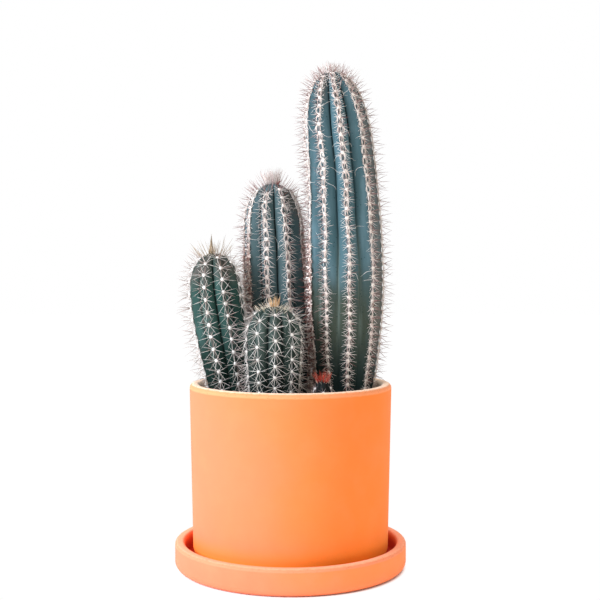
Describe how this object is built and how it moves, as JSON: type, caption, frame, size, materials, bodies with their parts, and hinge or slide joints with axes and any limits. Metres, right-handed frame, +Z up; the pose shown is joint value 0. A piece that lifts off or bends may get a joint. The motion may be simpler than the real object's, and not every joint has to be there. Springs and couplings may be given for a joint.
{
  "type": "potted blue torch cactus",
  "caption": "Cluster of ribbed blue-green columnar cactus stems with pale spines, growing in a round terracotta pot that stands on a matching saucer.",
  "frame": {"origin": "centre of the saucer's flat underside, which stands on the surface", "axes": "+Z up along the pot's axis, -Y towards the viewer of the front, +X to the viewer's right, where the tall stem stands"},
  "size_m": [0.177, 0.177, 0.3889],
  "materials": {
    "saucer_clay": "unglazed terracotta, matte, paler on the lip",
    "pot_clay": "unglazed terracotta, matte, paler on the lip",
    "soil": "dark granular potting soil",
    "tall_skin": "waxy blue-green skin with a satin bloom",
    "middle_skin": "waxy dark teal skin with a satin bloom",
    "left_skin": "waxy green skin",
    "front_skin": "waxy grey-green skin",
    "pup_skin": "dark waxy skin"
  },
  "bodies": {
    "root": {"saucer": "saucer_clay", "pot": "pot_clay", "soil": "soil", "stem_tall": "tall_skin", "stem_middle": "middle_skin", "stem_left": "left_skin", "stem_front": "front_skin", "pup": "pup_skin"}
  },
  "joints": []
}
